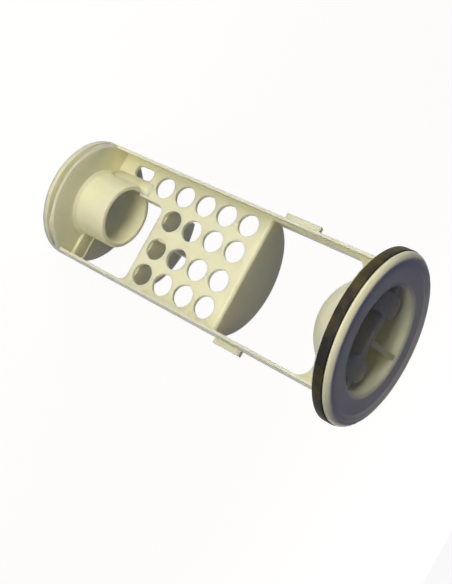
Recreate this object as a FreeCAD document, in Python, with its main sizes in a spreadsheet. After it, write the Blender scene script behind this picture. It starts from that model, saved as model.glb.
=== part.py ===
import FreeCAD, Part
import math
import os
import Sketcher

# Washing machine lint filter: a one-piece cream moulding with a rubber ring round its cap.
# It stands on its far disc. Z is the axis, the cap is on top, and the perforated face of the
# plate looks towards -Y. The row of six holes runs along the rail on the -X side.

# Driving dimensions in millimetres
SIZES = {
    # far disc with its groove, and the inlet tube that opens through it
    "body_radius": 30.2,
    "disc_thickness": 6.5,
    "disc_back_flange": 2.6,
    "disc_groove_width": 1.6,
    "disc_groove_depth": 2.0,
    "disc_bevel": 0.8,
    "disc_step_face": 8.0,
    "disc_rib_back": 8.6,
    "disc_rib_thickness": 1.0,
    "disc_rib_height": 0.7,
    "tube_radius": 16.1,
    "tube_wall": 2.7,
    "tube_end": 25.5,
    "tube_lip_bevel": 0.6,
    "tube_root_bevel": 1.4,
    "tube_blend": 2.0,
    # perforated plate, with its window and its strip on the two sides of the tube
    "plate_front": 1.0,
    "plate_thickness": 2.2,
    "plate_end": 98.2,
    "plate_edge_rounding": 1.6,
    "window_end": 42.0,
    "strip_edge": 12.3,
    "window_corner": 4.0,
    # holes in four rows along the plate
    "hole_radius": 5.3,
    "row_inset": 6.8,
    "row_spacing": 13.4,
    "first_column": 36.8,
    "column_pitch": 12.72,
    "slot_start": 15.6,
    "slot_end": 27.2,
    "slot_inset": 1.3,
    "slot_width": 6.1,
    "slot_corner": 2.6,
    # walls that hang under the plate
    "wall_thickness": 2.2,
    "wall_clearance": 0.3,
    "cross_wall_face": 44.8,
    "strip_web_depth": 8.0,
    "strip_web_thickness": 1.8,
    "stiffener_length": 10.0,
    "stiffener_depth": 19.0,
    "stiffener_place": 2.2,
    # side rails: a thin lip in front of the plate, a thicker half behind it
    "rail_half_width": 8.5,
    "rail_lip_thickness": 1.2,
    "rail_thickness": 2.6,
    "lug_length": 2.5,
    "lug_front": 1.5,
    "lug_thickness": 2.5,
    "left_lug_start": 104.0,
    "left_lug_end": 122.0,
    "right_lug_start": 101.9,
    "right_lug_end": 116.0,
    "web_drop": 21.9,
    "web_corner": 6.5,
    # cap with the seat of the ring, and the bowl of the finger well
    "cap_crest": 169.3,
    "cap_overhang": 7.8,
    "cap_depth": 8.3,
    "crest_width": 2.8,
    "crest_height": 1.9,
    "crest_flat": 1.3,
    "crest_slope": 1.5,
    "face_drop": 0.45,
    "back_lip_inset": 1.8,
    "rim_height": 2.2,
    "seat_width": 4.8,
    "seat_depth": 3.4,
    "recess_inside_rail": 1.0,
    "recess_outside_rail": 2.2,
    "front_wall": 3.3,
    "bowl_drop": 2.6,
    "dome_inside_rail": 2.4,
    "bowl_wall": 2.0,
    "mouth_width": 2.2,
    # grip bar in the finger well
    "grip_drop": 4.1,
    "bar_thickness": 3.2,
    "pad_inset": 4.0,
    "pad_length": 9.5,
    "pad_half_width": 9.5,
    "pad_corner": 4.4,
    "grip_web_side": 0.8,
    "grip_web_thickness": 2.4,
    "grip_web_rise": 2.8,
    # rubber ring
    "ring_proud": 0.4,
    "ring_clearance": 0.05,
}


class Size:
    """A length that knows its value and its formula in terms of the sheet's cells."""

    def __init__(self, value, formula):
        self.value = float(value)
        self.formula = formula

    def __add__(self, other):
        other = as_size(other)
        return Size(self.value + other.value, f"({self.formula} + {other.formula})")

    def __sub__(self, other):
        other = as_size(other)
        return Size(self.value - other.value, f"({self.formula} - {other.formula})")

    def __mul__(self, other):
        other = as_size(other)
        return Size(self.value * other.value, f"({self.formula} * {other.formula})")

    def __truediv__(self, other):
        other = as_size(other)
        return Size(self.value / other.value, f"({self.formula} / {other.formula})")

    def __neg__(self):
        return Size(-self.value, f"(0 - {self.formula})")


def as_size(number):
    if isinstance(number, Size):
        return number
    return Size(number, repr(float(number)))


def leg(hypotenuse, other_leg):
    """The third side of a right triangle."""
    value = math.sqrt(hypotenuse.value ** 2 - other_leg.value ** 2)
    return Size(value, f"sqrt({hypotenuse.formula}^2 - {other_leg.formula}^2)")


doc = FreeCAD.newDocument("lint_filter")

# The sheet holds one plain number in each row, under its own name
sheet = doc.addObject("Spreadsheet::Sheet", "Sizes")
for row, (name, number) in enumerate(SIZES.items(), start=1):
    sheet.set(f"A{row}", name)
    sheet.set(f"B{row}", str(number))
    sheet.setAlias(f"B{row}", name)
doc.recompute()


def size(name):
    return Size(SIZES[name], f"Sizes.{name}")


def origin_feature(body, role):
    return [feature for feature in body.Origin.OriginFeatures if feature.Role == role][0]


def new_body(label):
    body = doc.addObject("PartDesign::Body", label)
    body.Label = label
    body.AllowCompound = True
    return body


def new_sketch(body, name, plane, offset=None):
    """An empty sketch on one of the body's own origin planes, or parallel to it."""
    sketch = body.newObject("Sketcher::SketchObject", name)
    sketch.AttachmentSupport = [(origin_feature(body, plane), "")]
    sketch.MapMode = "FlatFace"
    if offset is not None:
        sketch.AttachmentOffset = FreeCAD.Placement(
            FreeCAD.Vector(0, 0, offset.value), FreeCAD.Rotation()
        )
        sketch.setExpression("AttachmentOffset.Base.z", offset.formula)
    return sketch


def bind(sketch, kind, *places, to):
    """Add a dimension and bind it to its formula."""
    number = sketch.addConstraint(Sketcher.Constraint(kind, *places, to.value))
    sketch.setExpression(f"Constraints[{number}]", to.formula)


def arc_between(start, end, radius, side):
    """The short arc from start to end; side +1 has its centre on the left of the chord."""
    chord = end - start
    middle = start + chord * 0.5
    to_centre = math.sqrt(max(radius ** 2 - (chord.Length / 2) ** 2, 0.0))
    left = FreeCAD.Vector(-chord.y, chord.x, 0).normalize()
    centre = middle + left * (side * to_centre)
    first = math.atan2(start.y - centre.y, start.x - centre.x)
    last = math.atan2(end.y - centre.y, end.x - centre.x)
    if side < 0:
        first, last = last, first
    circle = Part.Circle(centre, FreeCAD.Vector(0, 0, 1), radius)
    return Part.ArcOfCircle(circle, first, last)


def draw_outline(sketch, corners):
    """Draw a closed outline. A corner is (x, y), or (x, y, radius, side) if an arc leaves it."""
    corners = [tuple(as_size(entry) for entry in corner) for corner in corners]
    points = [FreeCAD.Vector(corner[0].value, corner[1].value, 0) for corner in corners]
    starts = []
    ends = []
    for index, corner in enumerate(corners):
        start = points[index]
        end = points[(index + 1) % len(points)]
        if len(corner) == 2:
            edge = sketch.addGeometry(Part.LineSegment(start, end), False)
            starts.append((edge, 1))
            ends.append((edge, 2))
            continue
        radius = corner[2]
        side = corner[3].value
        edge = sketch.addGeometry(arc_between(start, end, radius.value, side), False)
        starts.append((edge, 1 if side > 0 else 2))
        ends.append((edge, 2 if side > 0 else 1))
    for index, end in enumerate(ends):
        following = starts[(index + 1) % len(starts)]
        sketch.addConstraint(Sketcher.Constraint("Coincident", *end, *following))
    for start, corner in zip(starts, corners):
        bind(sketch, "DistanceX", -1, 1, *start, to=corner[0])
        bind(sketch, "DistanceY", -1, 1, *start, to=corner[1])
        if len(corner) == 4:
            bind(sketch, "Radius", start[0], to=corner[2])


def draw_circle(sketch, across, up, radius):
    centre = FreeCAD.Vector(across.value, up.value, 0)
    circle = Part.Circle(centre, FreeCAD.Vector(0, 0, 1), radius.value)
    edge = sketch.addGeometry(circle, False)
    bind(sketch, "DistanceX", -1, 1, edge, 3, to=across)
    bind(sketch, "DistanceY", -1, 1, edge, 3, to=up)
    bind(sketch, "Radius", edge, to=radius)


def extrude(body, kind, sketch, length, back=False):
    """A Pad or a Pocket of the sketch, along its normal or against it."""
    feature = body.newObject(f"PartDesign::{kind}", f"{kind}_{sketch.Name}")
    feature.Profile = sketch
    feature.Length = length.value
    feature.setExpression("Length", length.formula)
    feature.Reversed = back
    feature.Refine = True
    sketch.Visibility = False
    return feature


def turn(body, kind, sketch):
    """A Revolution or a Groove of the sketch round the part's axis."""
    feature = body.newObject(f"PartDesign::{kind}", f"{kind}_{sketch.Name}")
    feature.Profile = sketch
    feature.ReferenceAxis = (sketch, ["V_Axis"])
    feature.Angle = 360
    feature.Refine = True
    sketch.Visibility = False
    return feature


def round_edges(body, name, radius, wanted):
    """Round the edges of the body so far that the test picks out."""
    doc.recompute()
    base = body.Tip
    names = [f"Edge{i}" for i, edge in enumerate(base.Shape.Edges, start=1) if wanted(edge)]
    if not names:
        raise RuntimeError(f"{name}: no edge to round")
    feature = body.newObject("PartDesign::Fillet", name)
    feature.Base = (base, names)
    feature.Radius = radius.value
    feature.setExpression("Radius", radius.formula)
    return feature


def near(number, wanted):
    return abs(number - wanted) < 0.02


def is_plate_edge(edge):
    """The long edge where the plate's front meets the end wall."""
    box = edge.BoundBox
    front = SIZES["plate_front"]
    level = near(box.ZMin, SIZES["plate_end"]) and near(box.ZMax, SIZES["plate_end"])
    return level and near(box.YMin, front) and near(box.YMax, front) and box.XLength > SIZES["body_radius"]


# Places that several features share
plate_front = size("plate_front")
plate_back = plate_front + size("plate_thickness")
disc_face = size("disc_thickness")
rail_radius = size("body_radius")
rail_half = size("rail_half_width")
rail_inner = rail_radius - size("rail_thickness")
bore_radius = size("tube_radius") - size("tube_wall")
plate_end = size("plate_end")
cap_radius = rail_radius + size("cap_overhang")
cap_crest = size("cap_crest")
cap_back = cap_crest - size("cap_depth")
recess_floor = cap_crest - size("front_wall")
seat_end = cap_crest - size("rim_height")
seat_start = seat_end - size("seat_width")
seat_radius = cap_radius - size("seat_depth")
bowl_centre = cap_crest - size("bowl_drop")
dome_radius = rail_inner - size("dome_inside_rail")
bowl_radius = dome_radius - size("bowl_wall")
bowl_middle = dome_radius - size("bowl_wall") / 2
grip_top = cap_crest - size("grip_drop")


def add_far_disc(body):
    """Two flanges with a groove between them, open in the middle for the tube."""
    edge = size("disc_bevel")
    radius = size("body_radius")
    groove_start = size("disc_back_flange")
    groove_end = groove_start + size("disc_groove_width")
    groove_floor = radius - size("disc_groove_depth")
    sketch = new_sketch(body, "far_disc", "XZ_Plane")
    draw_outline(sketch, [
        (bore_radius, 0),
        (radius, 0),
        (radius, groove_start),
        (groove_floor, groove_start),
        (groove_floor, groove_end),
        (radius, groove_end),
        (radius, disc_face - edge),
        (radius - edge, disc_face),
        (bore_radius, disc_face),
    ])
    return turn(body, "Revolution", sketch)


def add_rail(body, side):
    """One side rail, seen along the axis: a thin lip in front and a thicker half behind."""
    lip_radius = rail_radius - size("rail_lip_thickness")
    name = "left_rail" if side < 0 else "right_rail"
    outer = leg(rail_radius, rail_half) * side
    sketch = new_sketch(body, name, "XY_Plane", size("disc_back_flange"))
    draw_outline(sketch, [
        (outer, -rail_half, rail_radius, side),
        (outer, rail_half),
        (rail_inner * side, rail_half),
        (rail_inner * side, plate_front),
        (leg(lip_radius, plate_front) * side, plate_front, lip_radius, -side),
        (leg(lip_radius, rail_half) * side, -rail_half),
    ])
    return extrude(body, "Pad", sketch, recess_floor + 1 - size("disc_back_flange"))


def add_plate(body):
    """The flat plate with the window beside the tube, and its strip on the other side."""
    foot = disc_face - size("disc_groove_width")
    corner = size("window_corner")
    strip = -size("strip_edge")
    end = size("window_end")
    side = rail_inner + size("wall_clearance")
    sketch = new_sketch(body, "plate", "XZ_Plane", -plate_front)
    draw_outline(sketch, [
        (-side, foot),
        (side, foot),
        (side, plate_end),
        (-side, plate_end),
    ])
    extrude(body, "Pad", sketch, size("plate_thickness"), back=True)
    window = new_sketch(body, "window", "XZ_Plane", -plate_front)
    right = rail_inner
    beside = size("tube_radius") - size("tube_wall") / 2
    above = size("tube_end") - size("tube_lip_bevel")
    draw_outline(window, [
        (beside, disc_face),
        (right, disc_face),
        (right, end - corner, corner, 1),
        (right - corner, end),
        (strip + corner, end, corner, 1),
        (strip, end - corner),
        (strip, above),
        (beside, above),
    ])
    return extrude(body, "Pocket", window, size("plate_thickness"))


def add_disc_step(body):
    """The disc's thicker part behind the plate's plane, and a low rib to the right rail.

    Its edge lies in the middle of the strip on the left, and on the disc's diameter on the right.
    """
    radius = rail_radius - size("wall_clearance")
    foot = disc_face - size("disc_groove_width")
    face = size("disc_step_face")
    level = plate_front + size("plate_thickness") / 2
    sketch = new_sketch(body, "disc_step", "XY_Plane", foot)
    draw_outline(sketch, [
        (0, 0),
        (radius, 0, radius, 1),
        (0, radius, radius, 1),
        (-leg(radius, level), level),
        (0, level),
    ])
    extrude(body, "Pad", sketch, face - foot)
    back = size("disc_rib_back")
    front = back - size("disc_rib_thickness")
    start = size("tube_radius") - size("tube_wall")
    rib = new_sketch(body, "disc_rib", "XY_Plane", disc_face)
    draw_outline(rib, [
        (start, front),
        (rail_inner + size("wall_clearance"), front),
        (rail_inner + size("wall_clearance"), back),
        (start, back),
    ])
    return extrude(body, "Pad", rib, face + size("disc_rib_height") - disc_face)


def add_tube(body):
    """The inlet tube, with a bevel round its root and one on each edge of its lip."""
    tube = size("tube_radius")
    lip = size("tube_lip_bevel")
    root = size("tube_root_bevel")
    end = size("tube_end")
    foot = disc_face - size("disc_groove_width")
    sketch = new_sketch(body, "tube", "XZ_Plane")
    draw_outline(sketch, [
        (bore_radius, foot),
        (tube + root, foot),
        (tube + root, disc_face),
        (tube, disc_face + root),
        (tube, end - lip),
        (tube - lip, end),
        (bore_radius + lip, end),
        (bore_radius, end - lip),
    ])
    return turn(body, "Revolution", sketch)


def clear_bore(body):
    """The bore of the tube, cut again where the plate and the strip's web crossed it."""
    sketch = new_sketch(body, "bore", "XY_Plane")
    draw_circle(sketch, as_size(0), as_size(0), bore_radius)
    return extrude(body, "Pocket", sketch, size("tube_end"), back=True)


def add_tube_blend(body):
    """The hollow fillet between the tube and the strip."""
    top = size("tube_end") - size("tube_lip_bevel")
    blend = size("tube_blend")
    tube = size("tube_radius")
    reach = tube + blend
    level = plate_front - blend
    centre = leg(reach, level)
    foot = disc_face - size("disc_groove_width")
    inset = size("tube_wall") / 2
    sketch = new_sketch(body, "strip_blend", "XY_Plane", foot)
    draw_outline(sketch, [
        (-centre * tube / reach, level * tube / reach, blend, -1),
        (-centre, plate_front),
        (-centre, plate_front + inset),
        (inset - tube, plate_front + inset),
        (inset - tube, level * tube / reach),
    ])
    return extrude(body, "Pad", sketch, top - foot)


def drill_row(body, name, across, first, count):
    """One row of round holes along the plate."""
    sketch = new_sketch(body, name, "XZ_Plane", -plate_front)
    draw_circle(sketch, across, first, size("hole_radius"))
    hole = extrude(body, "Pocket", sketch, size("plate_thickness"))
    row = body.newObject("PartDesign::LinearPattern", f"{name}_pattern")
    row.Originals = [hole]
    row.Direction = (sketch, ["V_Axis"])
    span = size("column_pitch") * (count - 1)
    row.Length = span.value
    row.setExpression("Length", span.formula)
    row.Occurrences = count
    body.Tip = row
    return row


def cut_slot(body):
    """The rounded slot at the foot of the outer row, where the tube leaves no room."""
    corner = size("slot_corner")
    left = size("slot_inset") - rail_inner
    right = left + size("slot_width")
    bottom = size("slot_start")
    top = size("slot_end")
    sketch = new_sketch(body, "slot", "XZ_Plane", -plate_front)
    draw_outline(sketch, [
        (left + corner, bottom),
        (right - corner, bottom, corner, 1),
        (right, bottom + corner),
        (right, top - corner, corner, 1),
        (right - corner, top),
        (left + corner, top, corner, 1),
        (left, top - corner),
        (left, bottom + corner, corner, 1),
    ])
    return extrude(body, "Pocket", sketch, size("plate_thickness"))


def add_cross_wall(body):
    """The wall under the window's end, cut off straight in line with the strip's edge."""
    radius = size("body_radius") - size("wall_clearance")
    left = -(size("strip_edge") + size("strip_web_thickness"))
    level = plate_front + size("plate_thickness") / 2
    start = size("cross_wall_face") - size("wall_thickness")
    sketch = new_sketch(body, "cross_wall", "XY_Plane", start)
    draw_outline(sketch, [
        (left, level),
        (leg(radius, level), level, radius, 1),
        (left, leg(radius, left)),
    ])
    return extrude(body, "Pad", sketch, size("wall_thickness"))


def add_end_wall(body):
    """The half-disc wall under the plate's far edge."""
    radius = size("body_radius") - size("wall_clearance")
    level = plate_front + size("plate_thickness") / 2
    sketch = new_sketch(body, "end_wall", "XY_Plane", plate_end - size("wall_thickness"))
    draw_outline(sketch, [
        (-leg(radius, level), level),
        (leg(radius, level), level, radius, 1),
        (as_size(0), radius, radius, 1),
    ])
    return extrude(body, "Pad", sketch, size("wall_thickness"))


def add_strip_web(body):
    """The shallow wall under the strip's edge, from the disc to the cross wall."""
    foot = disc_face - size("disc_groove_width")
    left = -(size("strip_edge") + size("strip_web_thickness"))
    level = plate_front + size("plate_thickness") / 2
    bottom = plate_back + size("strip_web_depth")
    sketch = new_sketch(body, "strip_web", "XY_Plane", foot)
    draw_outline(sketch, [
        (left, level),
        (-size("strip_edge"), level),
        (-size("strip_edge"), bottom),
        (left, bottom),
    ])
    return extrude(body, "Pad", sketch, size("cross_wall_face") - foot)


def add_stiffener(body):
    """The short rib that stands on the cross wall under the plate."""
    place = size("stiffener_place")
    level = plate_front + size("plate_thickness") / 2
    start = size("cross_wall_face") - size("wall_thickness") / 2
    sketch = new_sketch(body, "stiffener", "YZ_Plane", place - size("wall_thickness") / 2)
    end = size("cross_wall_face") + size("stiffener_length")
    bottom = plate_back + size("stiffener_depth")
    draw_outline(sketch, [
        (level, start),
        (bottom, start),
        (bottom, end),
        (level, end),
    ])
    return extrude(body, "Pad", sketch, size("wall_thickness"))


def add_lug(body, side):
    """A flat lug outside one rail."""
    name = "left_lug" if side < 0 else "right_lug"
    start = size(f"{name}_start")
    end = size(f"{name}_end")
    root = rail_radius - size("rail_lip_thickness") / 2
    reach = rail_radius + size("lug_length")
    sketch = new_sketch(body, name, "XZ_Plane", size("lug_front"))
    draw_outline(sketch, [
        (root * side, start),
        (reach * side, start),
        (reach * side, end),
        (root * side, end),
    ])
    return extrude(body, "Pad", sketch, size("lug_thickness"), back=True)


def add_cap(body):
    """The cap as one turned form: seat of the ring, raised crest, flat face, bowl and dome.

    Its two roundings, at the crest and at the mouth, are each made of short cones.
    """
    recess_inner = rail_inner - size("recess_inside_rail")
    recess_outer = rail_radius + size("recess_outside_rail")
    back_lip = cap_radius - size("back_lip_inset")
    crest_width = size("crest_width")
    crest_height = size("crest_height")
    mouth = size("mouth_width")
    face = cap_crest - size("face_drop")
    mouth_height = face - bowl_centre
    slope_start = cap_radius - crest_width - size("crest_flat")
    sketch = new_sketch(body, "cap", "XZ_Plane")
    draw_outline(sketch, [
        (0, bowl_centre - dome_radius, dome_radius, 1),
        (leg(dome_radius, bowl_centre - cap_back), cap_back),
        (recess_inner, cap_back),
        (recess_inner, recess_floor),
        (recess_outer, recess_floor),
        (recess_outer, cap_back),
        (back_lip, cap_back),
        (back_lip, seat_start),
        (seat_radius, seat_start),
        (seat_radius, seat_end),
        (cap_radius, seat_end),
        (cap_radius, cap_crest - crest_height),
        (cap_radius - crest_width * 0.3, cap_crest - crest_height * 0.3),
        (cap_radius - crest_width, cap_crest),
        (slope_start, cap_crest),
        (slope_start - size("crest_slope"), face),
        (bowl_radius + mouth, face),
        (bowl_radius + mouth * 0.3, bowl_centre + mouth_height * 0.7),
        (bowl_radius, bowl_centre, bowl_radius, -1),
        (0, bowl_centre - bowl_radius),
    ])
    return turn(body, "Revolution", sketch)


def add_grip_bar(body):
    """The bar across the finger well, with a rounded pad near each end and one short web."""
    half = size("bar_thickness") / 2
    end = leg(bowl_middle, grip_top - bowl_centre)
    bar = new_sketch(body, "grip_bar", "XZ_Plane", -half)
    draw_outline(bar, [
        (-end, grip_top),
        (0, bowl_centre - bowl_middle, bowl_middle, 1),
        (end, grip_top),
    ])
    return extrude(body, "Pad", bar, size("bar_thickness"))


def add_grip_pads(body):
    """The pads run down, and a groove rounds their feet to end inside the bowl's wall."""
    depth = grip_top - bowl_centre + bowl_middle
    corner = size("pad_corner")
    wide = size("pad_half_width")
    pad_outer = bowl_radius - size("pad_inset")
    pad_inner = pad_outer - size("pad_length")
    for side in (-1, 1):
        near_end = pad_inner if side > 0 else -pad_outer
        far_end = pad_outer if side > 0 else -pad_inner
        name = "left_pad" if side < 0 else "right_pad"
        sketch = new_sketch(body, name, "XY_Plane", grip_top)
        draw_outline(sketch, [
            (near_end + corner, -wide),
            (far_end - corner, -wide, corner, 1),
            (far_end, -wide + corner),
            (far_end, wide - corner, corner, 1),
            (far_end - corner, wide),
            (near_end + corner, wide, corner, 1),
            (near_end, wide - corner),
            (near_end, -wide + corner, corner, 1),
        ])
        extrude(body, "Pad", sketch, depth, back=True)
    reach = leg(bowl_middle, bowl_centre - cap_back)
    bottom = bowl_centre - dome_radius
    sketch = new_sketch(body, "pad_feet", "XZ_Plane")
    draw_outline(sketch, [
        (0, bottom),
        (reach, bottom),
        (reach, cap_back, bowl_middle, -1),
        (0, bowl_centre - bowl_middle),
    ])
    return turn(body, "Groove", sketch)


def add_grip_web(body):
    """The web from the bar to the rear side of the bowl, rising to its mouth."""
    rise = grip_top + size("grip_web_rise")
    sketch = new_sketch(body, "grip_web", "YZ_Plane", size("grip_web_side"))
    draw_outline(sketch, [
        (0, bowl_centre - bowl_middle, bowl_middle, 1),
        (leg(bowl_middle, rise - bowl_centre), rise),
        (0, grip_top),
    ])
    return extrude(body, "Pad", sketch, size("grip_web_thickness"))


def add_cap_web(body, side):
    """The flat web in the plate's plane that joins a rail to the dome and to the cap."""
    name = "left_cap_web" if side < 0 else "right_cap_web"
    start = cap_crest - size("web_drop")
    corner = size("web_corner")
    outer = rail_inner + size("wall_clearance")
    inner = leg(bowl_middle, bowl_centre - start)
    top_inner = leg(bowl_middle, bowl_centre - cap_back)
    sketch = new_sketch(body, name, "XZ_Plane", -plate_front)
    draw_outline(sketch, [
        (inner * side, start),
        ((rail_inner - corner) * side, start, corner, -side),
        (rail_inner * side, start - corner),
        (outer * side, start - corner),
        (outer * side, cap_back + 1),
        (top_inner * side, cap_back + 1),
        (top_inner * side, cap_back, bowl_middle, -side),
    ])
    return extrude(body, "Pad", sketch, size("plate_thickness"), back=True)


def build_filter_body():
    body = new_body("filter_body")
    add_far_disc(body)
    for side in (-1, 1):
        add_rail(body, side)
    add_plate(body)
    add_strip_web(body)
    add_disc_step(body)
    add_tube(body)
    clear_bore(body)
    add_tube_blend(body)
    add_cross_wall(body)
    add_end_wall(body)
    round_edges(body, "plate_edge", size("plate_edge_rounding"), is_plate_edge)
    first = size("first_column")
    pitch = size("column_pitch")
    outer_row = rail_inner - size("row_inset")
    inner_row = outer_row - size("row_spacing")
    drill_row(body, "row_of_outer_left", -outer_row, first, 5)
    drill_row(body, "row_of_inner_left", -inner_row, first + pitch, 4)
    drill_row(body, "row_of_inner_right", inner_row, first + pitch, 4)
    drill_row(body, "row_of_outer_right", outer_row, first + pitch, 4)
    cut_slot(body)
    add_stiffener(body)
    for side in (-1, 1):
        add_lug(body, side)
    add_grip_bar(body)
    add_grip_pads(body)
    add_grip_web(body)
    add_cap(body)
    for side in (-1, 1):
        add_cap_web(body, side)
    return body


def build_seal_ring():
    """The rubber ring fills the seat and stands a little proud of the rim."""
    body = new_body("seal_ring")
    gap = size("ring_clearance")
    inner = seat_radius + gap
    outer = cap_radius + size("ring_proud")
    start = seat_start + gap
    end = seat_end - gap
    sketch = new_sketch(body, "ring_section", "XZ_Plane")
    draw_outline(sketch, [
        (inner, start),
        (outer, start),
        (outer, end),
        (inner, end),
    ])
    turn(body, "Revolution", sketch)
    return body


bodies = [build_filter_body(), build_seal_ring()]
doc.recompute()

# Every feature must have worked and every piece must be one sound solid
for item in doc.Objects:
    faults = [state for state in item.State if state in ("Invalid", "Error")]
    if faults:
        raise RuntimeError(f"{item.Name}: {faults}")
for body in bodies:
    if body.Shape.isNull() or not body.Shape.isValid() or len(body.Shape.Solids) != 1:
        raise RuntimeError(f"{body.Label}: its shape is not one valid solid")

os.makedirs("parts", exist_ok=True)
for body in bodies:
    body.Shape.exportStep(f"parts/{body.Label}.step")
    box = body.Shape.BoundBox
    print(body.Label, round(body.Shape.Volume), [round(v, 2) for v in (box.XMin, box.YMin, box.ZMin)],
          [round(v, 2) for v in (box.XMax, box.YMax, box.ZMax)])
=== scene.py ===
import math

import bpy
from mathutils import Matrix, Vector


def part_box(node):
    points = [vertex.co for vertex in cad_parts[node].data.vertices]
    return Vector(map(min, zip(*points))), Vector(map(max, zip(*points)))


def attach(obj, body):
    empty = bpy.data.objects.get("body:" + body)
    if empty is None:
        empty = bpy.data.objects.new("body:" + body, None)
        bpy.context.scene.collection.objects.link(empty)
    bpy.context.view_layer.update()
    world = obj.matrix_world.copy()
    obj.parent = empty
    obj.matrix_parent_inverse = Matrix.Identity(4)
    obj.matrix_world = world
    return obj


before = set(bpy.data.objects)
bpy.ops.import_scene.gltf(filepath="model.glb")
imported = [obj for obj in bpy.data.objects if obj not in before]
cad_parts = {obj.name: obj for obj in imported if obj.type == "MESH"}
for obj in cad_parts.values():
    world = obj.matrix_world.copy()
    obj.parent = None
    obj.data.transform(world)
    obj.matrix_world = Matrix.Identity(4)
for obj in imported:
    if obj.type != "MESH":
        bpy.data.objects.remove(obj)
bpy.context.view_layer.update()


# The photograph's viewpoint: a close camera in front of the strainer and above it, rolled until
# the strainer lies slantwise. The shift only frames it, as the photograph is cropped.
camera_data = bpy.data.cameras.new("camera")
camera_data.lens = 60.51
camera_data.sensor_width = 36.0
camera_data.shift_x = 0.0662
camera_data.shift_y = -0.1430
camera = bpy.data.objects.new("camera", camera_data)
camera.location = (0.03407, -0.37182, 0.31758)
camera.rotation_euler = [math.radians(turn) for turn in (-30.7248, -48.1262, 136.2803)]
bpy.context.scene.collection.objects.link(camera)
bpy.context.scene.camera = camera
bpy.context.scene.view_settings.view_transform = "Standard"


# The floor is a sheet of white acrylic, lit from below as a light table is, so it stays white
# right round the strainer. It shows in the strainer's gloss, and leaves the light on it to the
# lamps and the room.
def linear(hex_colour):
    """An sRGB hex colour as the linear colour that the shaders work with."""
    parts = [int(hex_colour[start:start + 2], 16) / 255 for start in (0, 2, 4)]
    straight = [part / 12.92 if part <= 0.04045 else ((part + 0.055) / 1.055) ** 2.4 for part in parts]
    return straight + [1.0]


def new_material(name):
    """An empty node material."""
    material = bpy.data.materials.new(name)
    material.use_nodes = True
    material.node_tree.nodes.clear()
    return material


def add_node(material, kind, settings=None, links=None):
    """Adds a node. A setting or link names a property or socket, or gives a socket's number."""
    node = material.node_tree.nodes.new(kind)
    for name, value in (settings or {}).items():
        if isinstance(name, str) and name in node.bl_rna.properties:
            setattr(node, name, value)
        else:
            node.inputs[name].default_value = value
    for name, source in (links or {}).items():
        material.node_tree.links.new(source, node.inputs[name])
    return node


FLOOR_HALF = 4.0
floor_corners = [(x * FLOOR_HALF, y * FLOOR_HALF, 0) for x, y in ((-1, -1), (1, -1), (1, 1), (-1, 1))]
floor_mesh = bpy.data.meshes.new("floor")
floor_mesh.from_pydata(floor_corners, [], [(0, 1, 2, 3)])
floor = bpy.data.objects.new("floor", floor_mesh)
bpy.context.scene.collection.objects.link(floor)
lit_acrylic = new_material("lit_white_acrylic")
glow = add_node(lit_acrylic, "ShaderNodeBsdfPrincipled", {
    "Base Color": linear("6c6a66"),
    "Roughness": 0.8,
    "Emission Color": linear("fffefc"),
    "Emission Strength": 0.94,
})
add_node(lit_acrylic, "ShaderNodeOutputMaterial", links={"Surface": glow.outputs[0]})
floor_mesh.materials.append(lit_acrylic)
floor.visible_diffuse = False


# The backdrop is the same sheet, bent round far behind, so a low view has a pale ground as well.
# Only the camera sees it: it neither lights the strainer, nor shades it, nor shows in its gloss.
BACKDROP_HEIGHT = 5.0
BACKDROP_SIDES = 64
backdrop_points = []
backdrop_faces = []
for side in range(BACKDROP_SIDES):
    angle = 2 * math.pi * side / BACKDROP_SIDES
    for height in (0, BACKDROP_HEIGHT):
        backdrop_points.append((FLOOR_HALF * math.cos(angle), FLOOR_HALF * math.sin(angle), height))
    low = 2 * side
    next_low = 2 * ((side + 1) % BACKDROP_SIDES)
    backdrop_faces.append((low, low + 1, next_low + 1, next_low))
backdrop_mesh = bpy.data.meshes.new("backdrop")
backdrop_mesh.from_pydata(backdrop_points, [], backdrop_faces)
backdrop_mesh.materials.append(lit_acrylic)
backdrop = bpy.data.objects.new("backdrop", backdrop_mesh)
bpy.context.scene.collection.objects.link(backdrop)
backdrop.visible_diffuse = False
backdrop.visible_glossy = False
backdrop.visible_transmission = False
backdrop.visible_shadow = False


# A wide soft box stands close in front, at the height of the cap, so it hardly touches what
# faces up. A low one helps it from below, a dim one stands behind, and the room is dusky blue.
def soft_box(name, place, aim, width, height, power, colour):
    """A large area light that faces a point of the strainer, in metres and watts."""
    data = bpy.data.lights.new(name, "AREA")
    data.shape = "RECTANGLE"
    data.size = width
    data.size_y = height
    data.energy = power
    data.color = linear(colour)[:3]
    light = bpy.data.objects.new(name, data)
    light.location = place
    away = [start - end for start, end in zip(place, aim)]
    flat = math.hypot(away[0], away[1])
    light.rotation_euler = (math.atan2(flat, away[2]), 0, math.atan2(away[0], -away[1]))
    bpy.context.scene.collection.objects.link(light)


soft_box("front_soft_box", place=(-0.083, -0.594, 0.215), aim=(0, 0, 0.18),
         width=1.5, height=0.14, power=4.8, colour="fffcf5")
soft_box("low_soft_box", place=(-0.060, -0.600, 0.080), aim=(0, 0, 0.12),
         width=1.2, height=0.06, power=1.7, colour="fffcf5")
soft_box("rear_soft_box", place=(0.15, 0.90, 0.10), aim=(0, 0, 0.10),
         width=1.0, height=0.18, power=1.6, colour="fff6e8")
room = bpy.data.worlds.new("room")
bpy.context.scene.world = room
room.use_nodes = True
room.node_tree.nodes["Background"].inputs["Color"].default_value = linear("42446e")
room.node_tree.nodes["Background"].inputs["Strength"].default_value = 1.0


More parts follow.
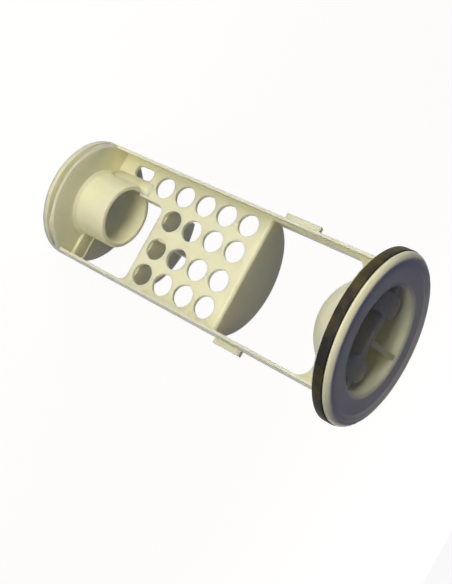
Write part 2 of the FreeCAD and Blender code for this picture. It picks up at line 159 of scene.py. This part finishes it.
# The body is one moulding of cream ABS: disc, tube, perforated plate, rails and cap in one.
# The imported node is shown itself, with its sharp edges eased as a mould leaves them.
WELD_REACH = 0.00001
FLAT_WITHIN = math.radians(1.0)
SHARP_FROM = math.radians(35)
EDGE_STEPS = 3
BODY_EDGE = 0.0004


def ease_edges(node, radius):
    """Joins the mesh's split corners and flat facets, and rounds its sharp edges."""
    weld = node.modifiers.new("weld", "WELD")
    weld.merge_threshold = WELD_REACH
    planes = node.modifiers.new("planes", "DECIMATE")
    planes.decimate_type = "DISSOLVE"
    planes.angle_limit = FLAT_WITHIN
    bevel = node.modifiers.new("edges", "BEVEL")
    bevel.limit_method = "ANGLE"
    bevel.angle_limit = SHARP_FROM
    bevel.width = radius
    bevel.segments = EDGE_STEPS
    bevel.use_clamp_overlap = True
    bevel.harden_normals = True


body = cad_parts["filter_body"]
ease_edges(body, BODY_EDGE)

# ABS, moulded: a satin skin over a body that lets some light through, so that the bowl and the
# disc glow yellow inside. Faint clouds and streaks show how the melt flowed along the mould, and
# what faces up in the bowl is tinted yellow: painted warm bounce light from the bowl's lit wall.
BODY_DEPTH = 0.005
BOWL_RADIUS = 0.0252
BOWL_FLOOR = 0.1480
BOUNCE_FADE = 0.003
CLOUD_MM = 16.7
STREAK_WIDE_MM = 3.85
STREAK_LONG_MM = 32.1

# The mould's own grain is about 0.1 mm wide. It is drawn coarser, or it wouldn't show at all.
GRAIN_MM = 1.11


def moulded_cream_abs(name, depth):
    """Cream ABS whose light spreads under its skin as far as the given depth in metres."""
    material = new_material(name)
    place = add_node(material, "ShaderNodeTexCoord")
    cloud = add_node(material, "ShaderNodeTexNoise", {"Scale": 1000 / CLOUD_MM, "Detail": 4.0},
                     {"Vector": place.outputs["Object"]})
    along = add_node(material, "ShaderNodeMapping", {
        "Scale": (1.0, 1.0, STREAK_WIDE_MM / STREAK_LONG_MM),
    }, {"Vector": place.outputs["Object"]})
    streak = add_node(material, "ShaderNodeTexNoise", {"Scale": 1000 / STREAK_WIDE_MM, "Detail": 3.0},
                      {"Vector": along.outputs["Vector"]})
    flow = add_node(material, "ShaderNodeMix", {"data_type": "FLOAT", 0: 0.35},
                    {2: cloud.outputs["Fac"], 3: streak.outputs["Fac"]})
    flow_tone = add_node(material, "ShaderNodeMix", {
        "data_type": "RGBA",
        6: linear("d9d6a8"),
        7: linear("ece9c4"),
    }, {0: flow.outputs[0]})
    # Painted bounce light: what faces up inside the bowl, above its floor, is masked here to be tinted
    # warm yellow.
    axes = add_node(material, "ShaderNodeSeparateXYZ", links={"Vector": place.outputs["Object"]})
    across = add_node(material, "ShaderNodeMath", {"operation": "MULTIPLY"},
                      {0: axes.outputs["X"], 1: axes.outputs["X"]})
    off_axis = add_node(material, "ShaderNodeMath", {"operation": "MULTIPLY_ADD"},
                        {0: axes.outputs["Y"], 1: axes.outputs["Y"], 2: across.outputs[0]})
    inside = add_node(material, "ShaderNodeMapRange", {
        "From Min": BOWL_RADIUS ** 2,
        "From Max": (BOWL_RADIUS - BOUNCE_FADE) ** 2,
    }, {"Value": off_axis.outputs[0]})
    turned = add_node(material, "ShaderNodeSeparateXYZ", links={"Vector": place.outputs["Normal"]})
    facing_up = add_node(material, "ShaderNodeMapRange", {"From Min": 0.2, "From Max": 0.9},
                         {"Value": turned.outputs["Z"]})
    above = add_node(material, "ShaderNodeMath", {"operation": "GREATER_THAN", 1: BOWL_FLOOR},
                     {0: axes.outputs["Z"]})
    in_bowl = add_node(material, "ShaderNodeMath", {"operation": "MULTIPLY"},
                       {0: inside.outputs["Result"], 1: facing_up.outputs["Result"]})
    painted_bounce_mask = add_node(material, "ShaderNodeMath", {"operation": "MULTIPLY"},
                      {0: in_bowl.outputs[0], 1: above.outputs[0]})
    # The yellow tint that paints the bowl's bounce light is multiplied into the cream here.
    tone_and_painted_bounce = add_node(material, "ShaderNodeMix", {
        "data_type": "RGBA",
        "blend_type": "MULTIPLY",
        7: linear("fcfcce"),
    }, {0: painted_bounce_mask.outputs[0], 6: flow_tone.outputs[2]})
    satin = add_node(material, "ShaderNodeMapRange", {"To Min": 0.36, "To Max": 0.50},
                     {"Value": streak.outputs["Fac"]})
    grain = add_node(material, "ShaderNodeTexNoise", {"Scale": 1000 / GRAIN_MM, "Detail": 2.0},
                     {"Vector": place.outputs["Object"]})
    bump = add_node(material, "ShaderNodeBump", {"Strength": 0.06, "Distance": 0.0001},
                    {"Height": grain.outputs["Fac"]})
    plastic = add_node(material, "ShaderNodeBsdfPrincipled", {
        "IOR": 1.54,
        "Subsurface Weight": 0.85,
        "Subsurface Radius": (1.0, 0.97, 0.85),
        "Subsurface Scale": depth,
    }, {
        "Base Color": tone_and_painted_bounce.outputs[2],
        "Roughness": satin.outputs["Result"],
        "Normal": bump.outputs["Normal"],
    })
    add_node(material, "ShaderNodeOutputMaterial", links={"Surface": plastic.outputs[0]})
    return material


body.data.materials.clear()
body.data.materials.append(moulded_cream_abs("moulded_cream_abs", BODY_DEPTH))


# The bead is the round shoulder of the cap's rim, moulded in one with it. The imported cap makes
# the shoulder of three short cones, so this bead lies over them and gives it its full rounding.
CAP_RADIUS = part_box("filter_body")[1][0]
CAP_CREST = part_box("filter_body")[1][2]
BEAD_STEPS = 144

# The bead's section, in millimetres out from the cap's radius and up from its crest: up the side,
# over the shoulder and inward to the flat face, and then back through the inside of the wall.
BEAD_SECTION = [
    (0.03, -2.00), (0.03, -1.70), (-0.10, -1.35), (-0.40, -0.90), (-0.90, -0.38), (-1.40, 0.02),
    (-1.90, 0.25), (-2.40, 0.33), (-2.90, 0.26), (-3.50, 0.06), (-4.20, -0.16), (-4.90, -0.40),
    (-5.30, -0.60), (-1.20, -1.60),
]
bead_points = []
bead_faces = []
bead_corners = len(BEAD_SECTION)
for step in range(BEAD_STEPS):
    angle = 2 * math.pi * step / BEAD_STEPS
    here = step * bead_corners
    after = (step + 1) % BEAD_STEPS * bead_corners
    for corner, (outward, upward) in enumerate(BEAD_SECTION):
        radius = CAP_RADIUS + outward / 1000
        height = CAP_CREST + upward / 1000
        bead_points.append((radius * math.cos(angle), radius * math.sin(angle), height))
        next_corner = (corner + 1) % bead_corners
        bead_faces.append((here + corner, after + corner, after + next_corner, here + next_corner))
bead_mesh = bpy.data.meshes.new("rim_bead")
bead_mesh.from_pydata(bead_points, [], bead_faces)
bead_mesh.shade_smooth()

# The same ABS, but its light is kept near its surface, as this thin piece lies on a thick one.
SKIN_DEPTH = 0.0002
bead_mesh.materials.append(moulded_cream_abs("moulded_cream_abs_skin", SKIN_DEPTH))
bead = bpy.data.objects.new("rim_bead", bead_mesh)
bpy.context.scene.collection.objects.link(bead)
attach(bead, "root")


# The blend is the soft web where the tube flows into the strip beside it, in the same moulding.
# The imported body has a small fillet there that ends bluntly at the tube's lip; this covers it.

# Across, it follows one curve in X and Y, from its foot on the strip to its crown on the tube.
# The knee is the point that bends the curve.
BLEND_FOOT = (-0.01975, 0.00098)
BLEND_KNEE = (-0.0177, -0.00025)
BLEND_CROWN = (-0.0157, -0.0036)
BLEND_STEPS = 10

# Past the crown it turns down into the tube's wall, and all of it is rooted inside the strip.
BLEND_SHOULDER = [(-0.0152, -0.0032), (-0.0146, -0.0022), (-0.0141, -0.0008), (-0.01375, 0.0004)]
BLEND_ROOT = 0.0029
ROOT_FLARE = 0.0001

# Heights along the tube, each with the share of the web's full rise that is left there.
BLEND_RUN = [
    (0.0070, 1.0), (0.0150, 1.0), (0.0230, 1.0), (0.0245, 0.97), (0.0251, 0.84), (0.0256, 0.66),
    (0.0262, 0.46), (0.0269, 0.28), (0.0277, 0.15), (0.0286, 0.07), (0.0296, 0.02), (0.0304, -0.01),
]
blend_front = []
for step in range(BLEND_STEPS + 1):
    far = step / BLEND_STEPS
    near = 1 - far
    blend_front.append([
        near * near * foot + 2 * near * far * knee + far * far * crown
        for foot, knee, crown in zip(BLEND_FOOT, BLEND_KNEE, BLEND_CROWN)
    ])
blend_front += BLEND_SHOULDER
blend_points = []
for height, share in BLEND_RUN:
    blend_points.append((blend_front[0][0] - ROOT_FLARE, BLEND_ROOT, height))
    blend_points += [(x, BLEND_FOOT[1] - share * (BLEND_FOOT[1] - y), height) for x, y in blend_front]
    blend_points.append((blend_front[-1][0] + ROOT_FLARE, BLEND_ROOT, height))
blend_corners = len(blend_front) + 2
last_section = len(blend_points) - blend_corners
blend_faces = [
    tuple(range(blend_corners - 1, -1, -1)),
    tuple(range(last_section, len(blend_points))),
]
for here in range(0, last_section, blend_corners):
    after = here + blend_corners
    for corner in range(blend_corners):
        next_corner = (corner + 1) % blend_corners
        blend_faces.append((here + corner, here + next_corner, after + next_corner, after + corner))
blend_mesh = bpy.data.meshes.new("strip_blend")
blend_mesh.from_pydata(blend_points, [], blend_faces)
blend_mesh.shade_smooth()
blend_mesh.materials.append(body.data.materials[0])
blend = bpy.data.objects.new("strip_blend", blend_mesh)
bpy.context.scene.collection.objects.link(blend)
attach(blend, "root")


# The ring is a square band of black rubber, stretched over the cap's rim and held in its seat by
# its own pull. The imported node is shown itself, with its edges rounded as they were moulded.
RING_EDGE = 0.0006
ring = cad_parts["seal_ring"]
ease_edges(ring, RING_EDGE)

# Rubber, moulded: nearly black and almost without gloss. Soap has dried on it in brown patches,
# which are duller still.
PATCH_MM = 18.2

# The rubber's pores are about 0.1 mm wide. They are drawn coarser, or they wouldn't show at all.
PORE_MM = 0.91

rubber_mix = new_material("moulded_black_rubber")
place = add_node(rubber_mix, "ShaderNodeTexCoord")
bloom = add_node(rubber_mix, "ShaderNodeTexNoise", {
    "Scale": 1000 / PATCH_MM,
    "Detail": 6.0,
    "Roughness": 0.6,
}, {"Vector": place.outputs["Object"]})
patches = add_node(rubber_mix, "ShaderNodeMapRange", {"From Min": 0.45, "From Max": 0.68},
                   {"Value": bloom.outputs["Fac"]})
stained = add_node(rubber_mix, "ShaderNodeMix", {
    "data_type": "RGBA",
    6: linear("17140e"),
    7: linear("574b26"),
}, {0: patches.outputs["Result"]})
dulled = add_node(rubber_mix, "ShaderNodeMapRange", {"To Min": 0.45, "To Max": 0.68},
                  {"Value": bloom.outputs["Fac"]})
pitted = add_node(rubber_mix, "ShaderNodeTexNoise", {"Scale": 1000 / PORE_MM, "Detail": 3.0},
                  {"Vector": place.outputs["Object"]})
pores = add_node(rubber_mix, "ShaderNodeBump", {"Strength": 0.12, "Distance": 0.0001},
                 {"Height": pitted.outputs["Fac"]})
rubber = add_node(rubber_mix, "ShaderNodeBsdfPrincipled", {
    "IOR": 1.5,
    "Specular IOR Level": 0.2,
}, {
    "Base Color": stained.outputs[2],
    "Roughness": dulled.outputs["Result"],
    "Normal": pores.outputs["Normal"],
})
add_node(rubber_mix, "ShaderNodeOutputMaterial", links={"Surface": rubber.outputs[0]})
ring.data.materials.clear()
ring.data.materials.append(rubber_mix)

bpy.context.view_layer.update()
